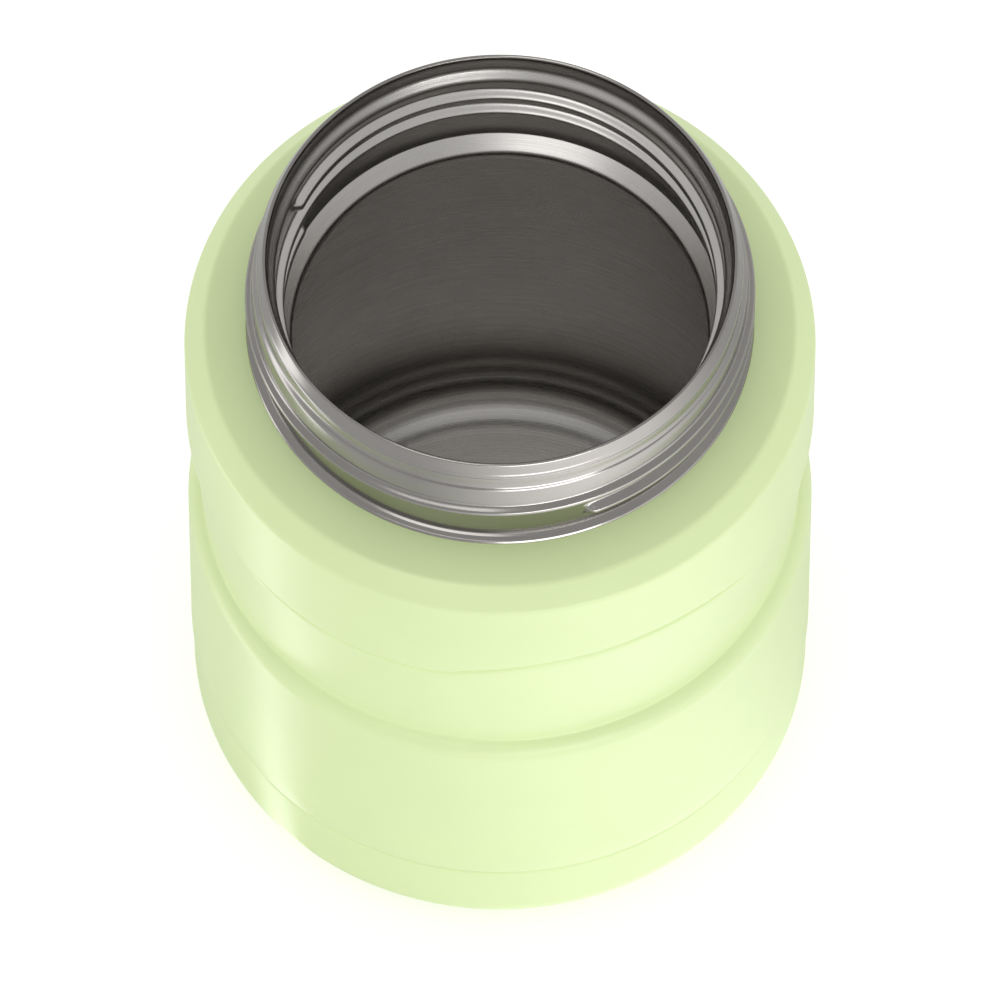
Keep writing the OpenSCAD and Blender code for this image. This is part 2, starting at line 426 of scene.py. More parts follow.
def finish_piece(piece):
    """Smooths the turned faces and keeps the edges of more than 35 degrees crisp."""
    deselect()
    piece.select_set(True)
    bpy.context.view_layer.objects.active = piece
    bpy.ops.object.shade_smooth_by_angle(angle=math.radians(35))


def ease(t):
    """Smooth step from 0 to 1."""
    t = min(1.0, max(0.0, t))
    return t * t * (3 - 2 * t)


def roll_ridge(piece, wall, thread):
    """Rolls a screw ridge into a wall of a piece: (radius at a height, lowest, highest).

    thread holds the crest's radius, the turn and height of the start, the pitch, the number of
    turns, and the widths of foot and crest. Past the turn fade_from along it, the ridge falls to
    the share fade of its height within half a turn.
    """
    wall_r, low, high = wall
    on_wall = 0.02 * MM
    total = thread["turns"] * math.tau
    half_foot = thread["foot"] / 2
    half_crest = thread["crest"] / 2
    for vertex in piece.data.vertices:
        x, y, z = vertex.co
        radius = math.hypot(x, y)
        if not low <= z <= high or abs(radius - wall_r(z)) > on_wall:
            continue
        turned = (math.atan2(x, -y) - thread["start_turn"]) % math.tau
        share = 0.0
        for lap in range(-1, int(thread["turns"]) + 2):
            along = turned + lap * math.tau
            nearest = min(total, max(0.0, along))
            centre = thread["start_z"] + thread["pitch"] * nearest / math.tau
            away = math.hypot(z - centre, (along - nearest) * wall_r(z))
            if away >= half_foot:
                continue
            t = max(0.0, (away - half_crest) / (half_foot - half_crest))
            scale = 1 - (1 - thread["fade"]) * ease((nearest - thread["fade_from"]) / math.pi)
            share = max(share, scale * (0.5 + 0.5 * math.cos(math.pi * t)))
        moved = radius + (thread["crest_r"] - wall_r(z)) * share
        vertex.co.x *= moved / radius
        vertex.co.y *= moved / radius


# ---------------------------------------------------------------- materials


def new_material(name):
    """A material with a shader and an output, its node tree and the shader."""
    material = bpy.data.materials.new(name)
    material.use_nodes = True
    tree = material.node_tree
    tree.nodes.clear()
    output = tree.nodes.new("ShaderNodeOutputMaterial")
    shader = tree.nodes.new("ShaderNodeBsdfPrincipled")
    tree.links.new(shader.outputs["BSDF"], output.inputs["Surface"])
    return material, tree, shader


def object_noise(tree, scale, detail):
    """Noise on object coordinates."""
    coords = tree.nodes.new("ShaderNodeTexCoord")
    noise = tree.nodes.new("ShaderNodeTexNoise")
    noise.inputs["Scale"].default_value = scale
    noise.inputs["Detail"].default_value = detail
    noise.inputs["Roughness"].default_value = 0.55
    tree.links.new(coords.outputs["Object"], noise.inputs["Vector"])
    return noise


def spread(tree, source, low, high):
    """Maps the middle part of a noise pattern, 0.3 to 0.7, onto a range of values."""
    ramp = tree.nodes.new("ShaderNodeMapRange")
    ramp.inputs["From Min"].default_value = 0.3
    ramp.inputs["From Max"].default_value = 0.7
    ramp.inputs["To Min"].default_value = low
    ramp.inputs["To Max"].default_value = high
    tree.links.new(source, ramp.inputs["Value"])
    return ramp.outputs["Result"]


def turned_lines(tree):
    """Fine lathe lines round the jar's axis: noise that changes with radius and height only."""
    coords = tree.nodes.new("ShaderNodeTexCoord")
    parts = tree.nodes.new("ShaderNodeSeparateXYZ")
    flat = tree.nodes.new("ShaderNodeCombineXYZ")
    length = tree.nodes.new("ShaderNodeVectorMath")
    length.operation = "LENGTH"
    joined = tree.nodes.new("ShaderNodeCombineXYZ")
    lines = tree.nodes.new("ShaderNodeTexNoise")
    lines.inputs["Scale"].default_value = 5200.0
    lines.inputs["Detail"].default_value = 3.0
    tree.links.new(coords.outputs["Object"], parts.inputs["Vector"])
    tree.links.new(parts.outputs["X"], flat.inputs["X"])
    tree.links.new(parts.outputs["Y"], flat.inputs["Y"])
    tree.links.new(flat.outputs["Vector"], length.inputs[0])
    tree.links.new(length.outputs["Value"], joined.inputs["X"])
    tree.links.new(parts.outputs["Z"], joined.inputs["Z"])
    tree.links.new(joined.outputs["Vector"], lines.inputs["Vector"])
    return lines


def add_bump(tree, shader, pattern, strength, distance):
    """Bumps the shader's normal by a pattern whose full height is the distance, in metres."""
    bump = tree.nodes.new("ShaderNodeBump")
    bump.inputs["Strength"].default_value = strength
    bump.inputs["Distance"].default_value = distance
    tree.links.new(pattern, bump.inputs["Height"])
    tree.links.new(bump.outputs["Normal"], shader.inputs["Normal"])


def cloud(tree, shader, noise, colour, darker, lighter):
    """Colours the shader between a darker and a lighter tone of a colour, by a noise."""
    mix = tree.nodes.new("ShaderNodeMix")
    mix.data_type = "RGBA"
    mix.inputs["A"].default_value = (*(c * darker for c in colour), 1)
    mix.inputs["B"].default_value = (*(min(1.0, c * lighter) for c in colour), 1)
    tree.links.new(spread(tree, noise.outputs["Fac"], 0, 1), mix.inputs["Factor"])
    tree.links.new(mix.outputs["Result"], shader.inputs["Base Color"])


def roughen(tree, shader, noise, low, high):
    """Varies the shader's roughness between two values, by a noise."""
    tree.links.new(spread(tree, noise.outputs["Fac"], low, high), shader.inputs["Roughness"])


def enamel(name, colour):
    """Satin enamel: an even colour, faintly clouded, with an orange-peel skin and a soft gloss."""
    _, tree, shader = new_material(name)
    shader.inputs["IOR"].default_value = 1.5
    clouds = object_noise(tree, scale=28.0, detail=3.0)
    cloud(tree, shader, clouds, colour, darker=0.975, lighter=1.02)
    grain = object_noise(tree, scale=900.0, detail=2.0)
    roughen(tree, shader, grain, 0.30, 0.36)
    peel = object_noise(tree, scale=2200.0, detail=2.0)
    add_bump(tree, shader, peel.outputs["Fac"], strength=0.10, distance=0.06 * MM)


def turned_steel(name, colour, smooth, rough, line_strength):
    """Turned stainless steel: fine lines round the axis, between two values of roughness."""
    _, tree, shader = new_material(name)
    shader.inputs["Metallic"].default_value = 1.0
    shader.inputs["Anisotropic"].default_value = 0.45
    tangent = tree.nodes.new("ShaderNodeTangent")
    tangent.direction_type = "RADIAL"
    tangent.axis = "Z"
    tree.links.new(tangent.outputs["Tangent"], shader.inputs["Tangent"])
    lines = turned_lines(tree)
    clouds = object_noise(tree, scale=60.0, detail=3.0)
    cloud(tree, shader, clouds, colour, darker=0.93, lighter=1.04)
    roughen(tree, shader, lines, smooth, rough)
    add_bump(tree, shader, lines.outputs["Fac"], line_strength, distance=0.04 * MM)


def plain_metal(name, colour, roughness, grain_scale):
    """Dull metal for the pieces between the walls."""
    material, tree, shader = new_material(name)
    shader.inputs["Metallic"].default_value = 1.0
    grain = object_noise(tree, grain_scale, detail=5.0)
    cloud(tree, shader, grain, colour, darker=0.85, lighter=1.0)
    roughen(tree, shader, grain, roughness - 0.08, roughness + 0.08)
    add_bump(tree, shader, grain.outputs["Fac"], strength=0.2, distance=0.05 * MM)
    return material


def coat(piece, material):
    """Gives a piece one material."""
    piece.data.materials.clear()
    piece.data.materials.append(material)


# ---------------------------------------------------------------- pieces


def band_radius(sizes, z):
    """Radius of the band's slightly tapered wall at a height, carried on above it."""
    low = sizes.barrel_r - sizes.band_depth
    high = sizes.barrel_r - sizes.crease_depth
    return low + (high - low) * (z - sizes.band_z) / (sizes.crease_z - sizes.band_z)


def seam_edge(wall, seam):
    """Outline points of the barrel's rolled edge over the seam."""
    points = [(wall - 0.32 * MM, seam + 0.02 * MM)]
    for k in range(1, 5):
        a = math.radians(90 * (1 - k / 4))
        points.append(
            (wall - SEAM_ROLL * (1 - math.cos(a)), seam + SEAM_ROLL * (1 - math.sin(a)))
        )
    return points


def ledge_round(sizes, ledge_z, ledge_turn):
    """Outline points of the ledge below the band, curved into the band's wall at its foot."""
    points = []
    for k in range(15):
        a = ledge_turn * k / 14
        points.append(
            (
                sizes.barrel_r - sizes.ledge_r * (1 - math.cos(a)),
                ledge_z + sizes.ledge_r * math.sin(a),
            )
        )
    foot = points.pop()
    before = points[-1]
    for k in range(1, 5):
        t = k / 4
        above = sizes.band_z + 0.7 * MM * t
        points.append(
            (
                (before[0] * (1 - t) + foot[0] * t) * (1 - t) + band_radius(sizes, above) * t,
                (before[1] * (1 - t) + foot[1] * t) * (1 - t) + above * t,
            )
        )
    return points


def band_and_crease(sizes, start_z):
    """Outline points up the band's wall from a height, through the groove and round the crease."""
    foot_turn = math.acos(1 - (sizes.crease_depth - CREASE_STEP) / CREASE_ROLL)
    foot_z = sizes.crease_z - CREASE_DROP
    roll_z = foot_z + CREASE_ROLL * math.sin(foot_turn)
    groove_z = foot_z - GROOVE_HEIGHT
    points = []
    for k in range(1, 22):
        z = start_z + (groove_z - start_z) * k / 21
        points.append((band_radius(sizes, z), z))
    for k in range(1, 9):
        z = groove_z + (foot_z - groove_z) * k / 8
        dip = GROOVE_DEPTH * (0.5 - 0.5 * math.cos(math.tau * k / 8))
        points.append((band_radius(sizes, z) - dip, z))
    for k in range(11):
        a = foot_turn * (1 - k / 10)
        points.append(
            (sizes.barrel_r - CREASE_ROLL * (1 - math.cos(a)), roll_z - CREASE_ROLL * math.sin(a))
        )
    return points


def barrel_outline(sizes):
    """Closed outline of the barrel: outside from the spigot to the neck, then back down inside."""
    wall = sizes.barrel_r
    seam = sizes.seam_z
    spigot_r = sizes.base_r - CUP_SHEET - SPIGOT_PLAY
    ledge_turn = math.acos((sizes.ledge_r - sizes.band_depth) / sizes.ledge_r)
    ledge_z = sizes.band_z - sizes.ledge_r * math.sin(ledge_turn)
    bevel_z = sizes.edge_z + sizes.bevel_h
    outline = [
        (spigot_r - BARREL_SHEET, SPIGOT_Z),
        (spigot_r, SPIGOT_Z),
        (spigot_r, seam),
    ]
    outline += seam_edge(wall, seam)
    outline += climb(wall, seam + 0.3 * MM, ledge_z, pitch=4 * MM)
    outline += ledge_round(sizes, ledge_z, ledge_turn)
    outline += band_and_crease(sizes, outline[-1][1])
    outline += climb(wall, outline[-1][1], sizes.edge_z - 1.2 * MM, pitch=1 * MM)
    outline += soften(
        [
            (wall, sizes.edge_z - 1.2 * MM, 0),
            (wall, sizes.edge_z, 1.4 * MM),
            (wall - sizes.bevel_w, bevel_z, 1.8 * MM),
            (sizes.bead_r + 0.12 * MM, sizes.crown_z, 0),
        ],
        turn=5.0,
    )
    outline += [
        (sizes.bead_r - 1.2 * MM, sizes.crown_z - 0.1 * MM),
        (sizes.bead_r - 1.2 * MM, sizes.crown_z - 0.9 * MM),
        (wall - sizes.bevel_w - 0.2 * MM, bevel_z - 0.7 * MM),
        (wall - 0.7 * MM, sizes.edge_z - 0.6 * MM),
        (wall - 0.7 * MM, sizes.edge_z - 8.2 * MM),
        (wall - 1.6 * MM, sizes.crease_z - 1 * MM),
        (wall - sizes.band_depth - BARREL_SHEET, sizes.band_z - 0.4 * MM),
        (wall - BARREL_SHEET, ledge_z - 0.5 * MM),
        (wall - BARREL_SHEET, seam + BARREL_SHEET),
        (spigot_r - BARREL_SHEET, seam + BARREL_SHEET),
    ]
    return outline


def arch_share(share):
    """Share of the arch's rise, 1 in its middle and 0 at its end, at a share of its half width."""
    if share < ARCH_RUN_OUT:
        return 1 - share**ARCH_POWER
    left = (ARCH_END - share) / (ARCH_END - ARCH_RUN_OUT)
    return left**2 * (1 - ARCH_RUN_OUT**ARCH_POWER)


def raise_arch(piece, sizes):
    """Lifts the crease into the badge panel's low arch, and carries the band's wall up under it."""
    low, high = sizes.band_z + 3 * MM, sizes.edge_z - 2 * MM
    full_low, full_high = sizes.crease_z - 2 * MM, sizes.crease_z + 3 * MM
    skin = 0.55 * MM
    for vertex in piece.data.vertices:
        x, y, z = vertex.co
        radius = math.hypot(x, y)
        band_r = band_radius(sizes, z)
        if not low < z < high or radius < min(band_r, sizes.barrel_r) - skin:
            continue
        off = math.atan2(x, -y) - sizes.arch_turn
        off = abs((off + math.pi) % math.tau - math.pi)
        share = off / sizes.arch_half_turn
        if share >= ARCH_END:
            continue
        near = ease((z - low) / (full_low - low)) * ease((high - z) / (high - full_high))
        lifted = z + sizes.arch_rise * arch_share(share) * near
        step = sizes.barrel_r - band_r
        up_step = 1.0
        if step > 0.001 * MM and z <= sizes.crease_z + 0.9 * MM:
            up_step = min(1.0, max(0.0, (radius - band_r) / step))
        moved = radius + (band_radius(sizes, lifted) - band_r) * (1 - up_step)
        vertex.co = (x * moved / radius, y * moved / radius, lifted)


def curve_through(stations, x):
    """Value at x of a smooth curve through (x, value) stations, level beyond its ends."""
    if x <= stations[0][0]:
        return stations[0][1]
    if x >= stations[-1][0]:
        return stations[-1][1]
    i = max(k for k, station in enumerate(stations) if station[0] <= x)
    i = min(i, len(stations) - 2)
    (x0, y0), (x1, y1) = stations[i], stations[i + 1]
    xa, ya = stations[max(0, i - 1)]
    xb, yb = stations[min(len(stations) - 1, i + 2)]
    gap = x1 - x0
    slope_in = (y1 - ya) / (x1 - xa) * gap
    slope_out = (yb - y0) / (xb - x0) * gap
    t = (x - x0) / gap
    return (
        y0 * (1 + 2 * t) * (1 - t) ** 2
        + slope_in * t * (1 - t) ** 2
        + y1 * t * t * (3 - 2 * t)
        + slope_out * t * t * (t - 1)
    )


def collar_wall(sizes, z):
    """Radius of the neck's outer wall at a height above the bead, without its thread."""
    drop = (sizes.lip_z - z) / MM
    return sizes.collar_r + curve_through(NECK_SWELL, drop) * MM


def throat_wall(sizes, z):
    """Radius of the liner's wall at a height above the stopper seat, without its thread."""
    top = sizes.lip_z - MOUTH_DEPTH
    foot = sizes.lip_z - THROAT_DEPTH
    if z >= top:
        return sizes.mouth_r
    return sizes.throat_r + (sizes.mouth_r - sizes.throat_r) * ease((z - foot) / (top - foot))


def wall_points(radius_at, low, high):
    """Outline points up a wall that carries a thread, from just above low to high."""
    count = round((high - low) / WALL_PITCH)
    heights = [low + (high - low) * k / count for k in range(1, count + 1)]
    return [(radius_at(z), z) for z in heights]


def shade_lip_with_neck_steel(liner, sizes, steel):
    """Gives the liner's rolled lip the neck's darker steel, down to the edge of its hem: painted
    shade on the outside of the lip.
    """
    liner.data.materials.append(steel)
    rim_r = sizes.mouth_r + 0.03 * MM
    for face in liner.data.polygons:
        x, y, z = face.center
        if z > sizes.lip_z - LIP_HEM and math.hypot(x, y) > rim_r:
            face.material_index = 1


class JAR_OT_painted_barrel(bpy.types.Operator):
    """Builds the painted barrel with its recessed band, badge panel and shoulder"""

    bl_idname = "jar.painted_barrel"
    bl_label = "Painted Barrel"

    def execute(self, context):
        sizes = context.scene.jar_sizes
        barrel = turn_outline("painted_barrel", barrel_outline(sizes), PAINTED_STEPS)
        raise_arch(barrel, sizes)
        finish_piece(barrel)
        coat(barrel, bpy.data.materials["satin_enamel"])
        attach(barrel, "root")
        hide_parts("outer_shell")
        return {"FINISHED"}


class JAR_OT_base_cup(bpy.types.Operator):
    """Builds the painted base cup with its rounded edge, foot ring and stamped recess"""

    bl_idname = "jar.base_cup"
    bl_label = "Base Cup"

    def execute(self, context):
        sizes = context.scene.jar_sizes
        r, corner = sizes.base_r, sizes.base_corner_r
        top = sizes.seam_z - SEAM_GAP
        ring_r = r - corner - FOOT_WIDTH
        recess_r = ring_r - RECESS_SLOPE
        outline = soften(
            [
                (0, RECESS_DEPTH, 0),
                (recess_r, RECESS_DEPTH, 1.2 * MM),
                (ring_r, 0, 1.2 * MM),
                (r, 0, corner),
                (r, top, 0.75 * MM),
                (r - CUP_SHEET, top, 0),
                (r - CUP_SHEET, CUP_SHEET, corner - CUP_SHEET),
                (ring_r, CUP_SHEET, 0.6 * MM),
                (recess_r, RECESS_DEPTH + CUP_SHEET, 0.6 * MM),
                (0, RECESS_DEPTH + CUP_SHEET, 0),
            ],
            turn=6.0,
        )
        cup = turn_outline("painted_base_cup", outline, PAINTED_STEPS)
        finish_piece(cup)
        coat(cup, bpy.data.materials["satin_enamel"])
        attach(cup, "root")
        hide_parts("base_cup")
        return {"FINISHED"}


class JAR_OT_screw_neck(bpy.types.Operator):
    """Builds the bare steel neck with its bead and rolled outer thread"""

    bl_idname = "jar.screw_neck"
    bl_label = "Screw Neck"

    def execute(self, context):
        sizes = context.scene.jar_sizes
        crown, collar = sizes.crown_z, sizes.collar_r
        inner = collar - NECK_WALL
        hem_z = sizes.lip_z - LIP_HEM
        top = sizes.lip_z - 1.2 * MM
        bead_top = crown + 1.05 * MM
        low = bead_top + 0.7 * MM
        outline = [(inner, crown - NECK_SKIRT)]
        outline += soften(
            [
                (collar - 0.1 * MM, crown - NECK_SKIRT, 0),
                (collar - 0.1 * MM, crown, 0),
                (sizes.bead_r + 0.10 * MM, crown, 0.12 * MM),
                (sizes.bead_r - 0.21 * MM, crown + 0.50 * MM, 0.3 * MM),
                (collar + 0.35 * MM, crown + 0.77 * MM, 0.2 * MM),
                (collar, bead_top, 0.12 * MM),
                (collar, low, 0),
            ],
            turn=10.0,
        )
        outline += wall_points(
            lambda z: collar_wall(sizes, z) - (LIP_SKIN if z > hem_z else 0.0), low, top
        )
        outline += [
            (collar_wall(sizes, top) - 0.44 * MM, top),
            (inner, top - 2.4 * MM),
        ]
        neck = turn_outline("screw_neck", outline, STEEL_STEPS)
        roll_ridge(
            neck,
            (lambda z: collar_wall(sizes, z), low - 0.5 * MM, hem_z),
            {
                "crest_r": collar + 1.24 * MM,
                "start_turn": math.radians(22),
                "start_z": crown + 4.76 * MM,
                "pitch": 4.15 * MM,
                "turns": 1.9,
                "foot": 3.0 * MM,
                "crest": 0.3 * MM,
                "fade": 0.0,
                "fade_from": math.radians(420),
            },
        )
        finish_piece(neck)
        coat(neck, bpy.data.materials["turned_steel_neck_shaded"])
        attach(neck, "root")
        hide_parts("neck_collar")
        return {"FINISHED"}


class JAR_OT_food_liner(bpy.types.Operator):
    """Builds the bare steel liner: rolled lip, inner thread, stopper seat and vessel wall"""

    bl_idname = "jar.food_liner"
    bl_label = "Food Liner"

    def execute(self, context):
        sizes = context.scene.jar_sizes
        lip, mouth, throat = sizes.lip_z, sizes.mouth_r, sizes.throat_r
        sheet = LINER_SHEET
        seat_top = lip - SEAT_DEPTH
        seat_low = seat_top - SEAT_HEIGHT
        wall_top = seat_low - LINER_SHOULDER
        join = sizes.liner_floor_z + sizes.liner_corner_r
        low, high = seat_top + 0.8 * MM, lip - 1.0 * MM
        outline = soften(
            [
                (sizes.liner_r, join, 0),
                (sizes.liner_r, wall_top, 5 * MM),
                (sizes.seat_r - 0.15 * MM, seat_low - 1.75 * MM, 0.9 * MM),
                (sizes.seat_r - 0.25 * MM, seat_low - 0.13 * MM, 1.4 * MM),
                (throat, seat_top, 0.35 * MM),
                (throat, low, 0),
            ],
            turn=7.0,
        )
        outline += wall_points(lambda z: throat_wall(sizes, z), low, high)
        outline += [(mouth + out * MM, lip - down * MM) for out, down in LIP_ROLL]
        hem_top = 1.1 * MM
        hem = [lip - hem_top - (LIP_HEM - hem_top) * k / 14 for k in range(15)]
        outline += [(collar_wall(sizes, z), z) for z in hem]
        outline += [(collar_wall(sizes, z) - 0.1 * MM, z) for z in reversed(hem)]
        outline += [
            (mouth + 0.50 * MM, lip - 1.05 * MM),
            (mouth + sheet, lip - 3 * MM),
            (throat + sheet + 0.2 * MM, lip - 5.4 * MM),
            (throat + sheet + 0.1 * MM, seat_top - 0.3 * MM),
            (sizes.seat_r + sheet, seat_low + 0.2 * MM),
            (sizes.seat_r + sheet, seat_low - 1.2 * MM),
            (sizes.liner_r - 1.6 * MM, wall_top + 2.5 * MM),
            (sizes.liner_r + sheet, wall_top - 1 * MM),
            (sizes.liner_r + sheet, join),
        ]
        liner = turn_outline("food_liner", outline, STEEL_STEPS)
        roll_ridge(
            liner,
            (lambda z: throat_wall(sizes, z), low - 0.05 * MM, high),
            {
                "crest_r": throat - 1.25 * MM,
                "start_turn": math.radians(-115),
                "start_z": seat_top + 3.85 * MM,
                "pitch": 4.2 * MM,
                "turns": 2.0,
                "foot": 3.3 * MM,
                "crest": 1.1 * MM,
                "fade": 1.0,
                "fade_from": 0.0,
            },
        )
        finish_piece(liner)
        coat(liner, bpy.data.materials["turned_steel_liner"])
        # Painted shade: the outside of the liner's own lip gets the darker neck steel
        shade_lip_with_neck_steel(liner, sizes, bpy.data.materials["turned_steel_neck_shaded"])
        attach(liner, "root")
        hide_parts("liner")
        return {"FINISHED"}


class JAR_OT_liner_floor(bpy.types.Operator):
    """Builds the round-cornered floor that closes the liner"""

    bl_idname = "jar.liner_floor"
    bl_label = "Liner Floor"

    def execute(self, context):
        sizes = context.scene.jar_sizes
        r, floor, sheet = sizes.liner_r, sizes.liner_floor_z, LINER_SHEET
        join = floor + sizes.liner_corner_r
        corner = sizes.liner_corner_r - 0.02 * MM
        ring_r = 12 * MM
        outline = soften(
            [
                (0, floor, 0),
                (ring_r, floor, 0),
                (r, floor, corner),
                (r, join, 0),
                (r + sheet, join, 0),
                (r + sheet, floor - sheet, corner + sheet),
                (ring_r, floor - sheet, 0),
                (0, floor - sheet, 0),
            ],
            turn=5.0,
        )
        floor_piece = turn_outline("liner_floor", outline, STEEL_STEPS)
        finish_piece(floor_piece)
        coat(floor_piece, bpy.data.materials["turned_steel_liner"])
        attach(floor_piece, "root")
        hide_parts("liner_bottom")
        return {"FINISHED"}


class JAR_OT_vacuum_parts(bpy.types.Operator):
    """Finishes the pieces that lie hidden between the walls"""

    bl_idname = "jar.vacuum_parts"
    bl_label = "Vacuum Parts"

    def execute(self, context):
        colours = context.scene.jar_finishes
        steel = plain_metal(
            "pressed_steel", tuple(colours.liner_steel), roughness=0.42, grain_scale=300.0
        )
        solder = plain_metal(
            "solder_bead", (0.42, 0.42, 0.45), roughness=0.50, grain_scale=700.0
        )
        pellet = plain_metal(
            "getter_pellet", (0.09, 0.10, 0.11), roughness=0.75, grain_scale=1500.0
        )
        foil = plain_metal(
            "copper_foil", tuple(colours.copper), roughness=0.28, grain_scale=180.0
        )
        for node, material in (
            ("shell_bottom", steel),
            ("getter_clip", steel),
            ("vacuum_seal", solder),
            ("getter", pellet),
            ("foil_wrap", foil),
            ("foil_disc", foil),
        ):
            coat(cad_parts[node], material)
        return {"FINISHED"}


class JAR_OT_finishes(bpy.types.Operator):
    """Makes the finishes of the visible pieces"""

    bl_idname = "jar.finishes"
    bl_label = "Finishes"

    def execute(self, context):
        colours = context.scene.jar_finishes
        enamel("satin_enamel", tuple(colours.paint))
        # The neck's steel is the liner's steel darkened as painted shade; the liner's steel is the
        # metal's own colour
        turned_steel(
            "turned_steel_neck_shaded",
            tuple(colours.neck_steel_shaded),
            smooth=0.15,
            rough=0.21,
            line_strength=0.10,
        )
        turned_steel(
            "turned_steel_liner",
            tuple(colours.liner_steel),
            smooth=0.24,
            rough=0.34,
            line_strength=0.12,
        )
        return {"FINISHED"}


# ---------------------------------------------------------------- stage

# Brightness that the floor adds for the camera, and the painted reflection that its two glowing cards
# add in glosses only, which lays a streak and a broad highlight in the jar's gloss
FLOOR_GLOW = 0.4
STRIP_REFLECTION_GLOW = 1.9
BROAD_REFLECTION_GLOW = 1.1

# Height that the lamps face
LAMP_AIM_Z = 0.06

# Camera: its lens in mm, its angle above the floor, its distance, and the height on the axis
# that it looks at
CAMERA_LENS = 720
CAMERA_TILT = math.radians(60.55)
CAMERA_DISTANCE = 3.051
CAMERA_AIM_Z = 0.04896


def softbox(name, turn, lift, distance, size, brightness, fills=True, shines=True):
    """An area lamp that faces the jar.

    Its place is a turn from the front and a lift above the floor, in degrees. brightness is its
    radiance. fills and shines say whether matt and glossy surfaces see it.
    """
    width, height = size
    lamp = bpy.data.lights.new(name, "AREA")
    lamp.shape = "RECTANGLE"
    lamp.size = width
    lamp.size_y = height
    lamp.energy = brightness * math.pi * width * height
    holder = bpy.data.objects.new(name, lamp)
    level = math.cos(math.radians(lift))
    heading = Vector(
        (
            math.sin(math.radians(turn)) * level,
            -math.cos(math.radians(turn)) * level,
            math.sin(math.radians(lift)),
        )
    )
    holder.location = heading * distance + Vector((0, 0, LAMP_AIM_Z))
    holder.rotation_euler = heading.to_track_quat("Z", "Y").to_euler()
    holder.visible_diffuse = fills
    holder.visible_glossy = shines
    bpy.context.scene.collection.objects.link(holder)


def calculate(tree, operation, first, second=None):
    """One math node on sockets or numbers."""
    node = tree.nodes.new("ShaderNodeMath")
    node.operation = operation
    for socket, value in zip(node.inputs, (first, second)):
        if value is None:
            continue
        if isinstance(value, (int, float)):
            socket.default_value = value
        else:
            tree.links.new(value, socket)
    return node.outputs["Value"]


def reflection_wedge(tree, place, apex, heading, half_width, edge):
    """1 inside a wedge of the floor that opens from an apex towards a heading, 0 outside it.

    Its angles are in degrees, and each side fades over twice the edge.
    """
    across = calculate(tree, "SUBTRACT", place.outputs["X"], apex[0])
    away = calculate(tree, "SUBTRACT", apex[1], place.outputs["Y"])
    turn = calculate(tree, "ARCTAN2", across, away)
    off = calculate(tree, "ABSOLUTE", calculate(tree, "SUBTRACT", turn, math.radians(heading)))
    mask = tree.nodes.new("ShaderNodeMapRange")
    mask.interpolation_type = "SMOOTHSTEP"
    mask.inputs["From Min"].default_value = math.radians(half_width + edge)
    mask.inputs["From Max"].default_value = math.radians(half_width - edge)
    tree.links.new(off, mask.inputs["Value"])
    return mask.outputs["Result"]


def painted_reflection_glow(tree):
    """Painted reflection: brightness of the floor's two glowing cards, which only glosses see."""
    coords = tree.nodes.new("ShaderNodeTexCoord")
    place = tree.nodes.new("ShaderNodeSeparateXYZ")
    tree.links.new(coords.outputs["Object"], place.inputs["Vector"])
    strip = reflection_wedge(tree, place, apex=(-18.5 * MM, -34 * MM), heading=-94, half_width=7, edge=6)
    broad = reflection_wedge(tree, place, apex=(0, 0), heading=32, half_width=34, edge=34)
    strip_reflection = calculate(tree, "MULTIPLY", strip, STRIP_REFLECTION_GLOW)
    broad_reflection = calculate(tree, "MULTIPLY", broad, BROAD_REFLECTION_GLOW)
    return calculate(tree, "ADD", strip_reflection, broad_reflection)


def pale_floor():
    """A matt white floor that keeps the jar's shadow; in glosses it glows in two cards, a painted
    reflection on the jar.
    """
    material, tree, shader = new_material("white_floor")
    material.cycles.emission_sampling = "NONE"
    shader.inputs["Roughness"].default_value = 0.9
    shader.inputs["Specular IOR Level"].default_value = 0.1
    weave = object_noise(tree, scale=40.0, detail=2.0)
    cloud(tree, shader, weave, (1, 1, 1), darker=0.94, lighter=0.95)
    path = tree.nodes.new("ShaderNodeLightPath")
    seen = calculate(
        tree, "MAXIMUM", path.outputs["Is Camera Ray"], path.outputs["Is Transmission Ray"]
    )
    in_view = calculate(tree, "MULTIPLY", seen, FLOOR_GLOW)
    # Painted reflection: the floor glows in two cards for glossy rays only, and no lamp is there
    in_gloss = calculate(tree, "MULTIPLY", path.outputs["Is Glossy Ray"], painted_reflection_glow(tree))
    glow = tree.nodes.new("ShaderNodeEmission")
    glow.inputs["Color"].default_value = (1, 1, 1, 1)
    both = tree.nodes.new("ShaderNodeAddShader")
    output = next(n for n in tree.nodes if n.bl_idname == "ShaderNodeOutputMaterial")
    tree.links.new(calculate(tree, "ADD", in_view, in_gloss), glow.inputs["Strength"])
    tree.links.new(shader.outputs["BSDF"], both.inputs[0])
    tree.links.new(glow.outputs["Emission"], both.inputs[1])
    tree.links.new(both.outputs["Shader"], output.inputs["Surface"])
    deselect()
    bpy.ops.mesh.primitive_plane_add(size=12, location=(0, 0, -0.2 * MM))
    floor = bpy.context.object
    floor.name = "studio_floor"
    bpy.ops.object.transform_apply(location=True, rotation=True, scale=True)
    coat(floor, material)


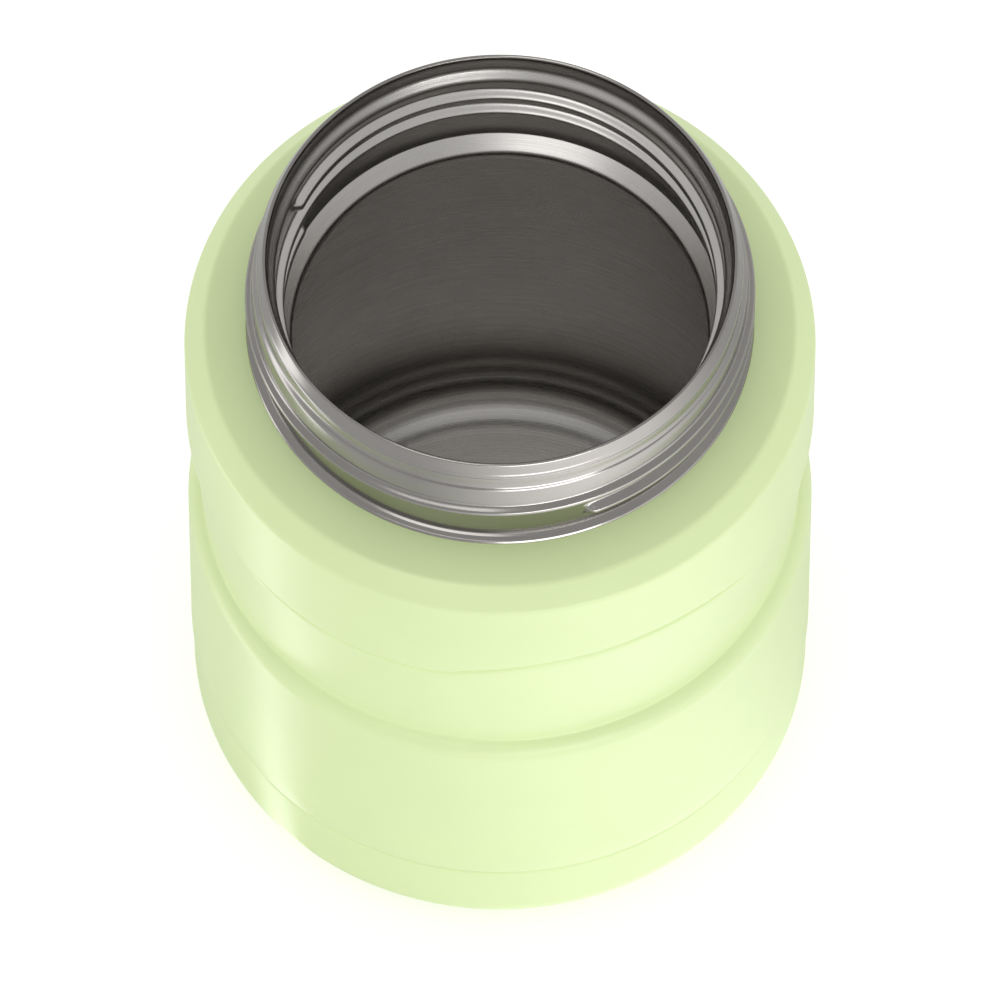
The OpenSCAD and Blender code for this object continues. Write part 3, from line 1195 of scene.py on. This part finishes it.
def tent_world(horizon, zenith, in_gloss):
    """World light that dims from the horizon to overhead, and is even in glosses."""
    world = bpy.data.worlds.new("studio_world")
    bpy.context.scene.world = world
    world.use_nodes = True
    tree = world.node_tree
    tree.nodes.clear()
    output = tree.nodes.new("ShaderNodeOutputWorld")
    light = tree.nodes.new("ShaderNodeBackground")
    coords = tree.nodes.new("ShaderNodeTexCoord")
    parts = tree.nodes.new("ShaderNodeSeparateXYZ")
    below_top = tree.nodes.new("ShaderNodeMapRange")
    below_top.inputs["From Min"].default_value = 1.0
    below_top.inputs["From Max"].default_value = 0.0
    curve = tree.nodes.new("ShaderNodeMath")
    curve.operation = "POWER"
    curve.inputs[1].default_value = 2.5
    level = tree.nodes.new("ShaderNodeMapRange")
    level.inputs["To Min"].default_value = zenith
    level.inputs["To Max"].default_value = horizon
    tree.links.new(coords.outputs["Generated"], parts.inputs["Vector"])
    tree.links.new(parts.outputs["Z"], below_top.inputs["Value"])
    tree.links.new(below_top.outputs["Result"], curve.inputs[0])
    tree.links.new(curve.outputs["Value"], level.inputs["Value"])
    path = tree.nodes.new("ShaderNodeLightPath")
    pick = tree.nodes.new("ShaderNodeMix")
    pick.data_type = "FLOAT"
    pick.inputs["B"].default_value = in_gloss
    tree.links.new(path.outputs["Is Glossy Ray"], pick.inputs["Factor"])
    tree.links.new(level.outputs["Result"], pick.inputs["A"])
    tree.links.new(pick.outputs["Result"], light.inputs["Strength"])
    tree.links.new(light.outputs["Background"], output.inputs["Surface"])


class JAR_OT_studio(bpy.types.Operator):
    """Sets the floor, the lamps and the camera"""

    bl_idname = "jar.studio"
    bl_label = "Studio"

    def execute(self, context):
        pale_floor()
        tent_world(horizon=2.05, zenith=0.73, in_gloss=0.74)
        softbox("high_key", -22, 42, 1.7, size=(1.0, 0.65), brightness=1.6, fills=False)
        softbox("low_key", 17, 4, 1.5, size=(0.9, 0.24), brightness=5.2)
        softbox("left_rim", -118, 5, 1.5, size=(0.6, 0.3), brightness=3.2, shines=False)
        softbox("right_rim", 118, 5, 1.5, size=(0.6, 0.3), brightness=2.2, shines=False)
        camera = bpy.data.cameras.new("studio_camera")
        camera.sensor_width = 36
        camera.lens = CAMERA_LENS
        camera.clip_start = 0.05
        camera.clip_end = 50
        holder = bpy.data.objects.new("studio_camera", camera)
        holder.location = (
            0,
            -CAMERA_DISTANCE * math.cos(CAMERA_TILT),
            CAMERA_AIM_Z + CAMERA_DISTANCE * math.sin(CAMERA_TILT),
        )
        holder.rotation_euler = (math.pi / 2 - CAMERA_TILT, 0, 0)
        context.scene.collection.objects.link(holder)
        context.scene.camera = holder
        context.scene.view_settings.view_transform = "Standard"
        return {"FINISHED"}


class JAR_PT_panel(bpy.types.Panel):
    """Lists the jar's sizes, colours and pieces"""

    bl_idname = "JAR_PT_panel"
    bl_label = "Food Jar"
    bl_space_type = "VIEW_3D"
    bl_region_type = "UI"
    bl_category = "Food Jar"

    def draw(self, context):
        layout = self.layout
        for group in (context.scene.jar_sizes, context.scene.jar_finishes):
            box = layout.box()
            for prop in group.bl_rna.properties:
                if prop.identifier not in ("rna_type", "name"):
                    box.prop(group, prop.identifier)
        for step in STEPS:
            layout.operator(step.bl_idname)


STEPS = (
    JAR_OT_finishes,
    JAR_OT_painted_barrel,
    JAR_OT_base_cup,
    JAR_OT_screw_neck,
    JAR_OT_food_liner,
    JAR_OT_liner_floor,
    JAR_OT_vacuum_parts,
    JAR_OT_studio,
)
CLASSES = (JarSizes, JarFinishes, *STEPS, JAR_PT_panel)


def register():
    for cls in CLASSES:
        bpy.utils.register_class(cls)
    bpy.types.Scene.jar_sizes = bpy.props.PointerProperty(type=JarSizes)
    bpy.types.Scene.jar_finishes = bpy.props.PointerProperty(type=JarFinishes)


def unregister():
    del bpy.types.Scene.jar_finishes
    del bpy.types.Scene.jar_sizes
    for cls in reversed(CLASSES):
        bpy.utils.unregister_class(cls)


def main():
    """Builds the jar, piece by piece."""
    register()
    for step in STEPS:
        area, name = step.bl_idname.split(".")
        getattr(getattr(bpy.ops, area), name)()


if __name__ == "__main__":
    main()
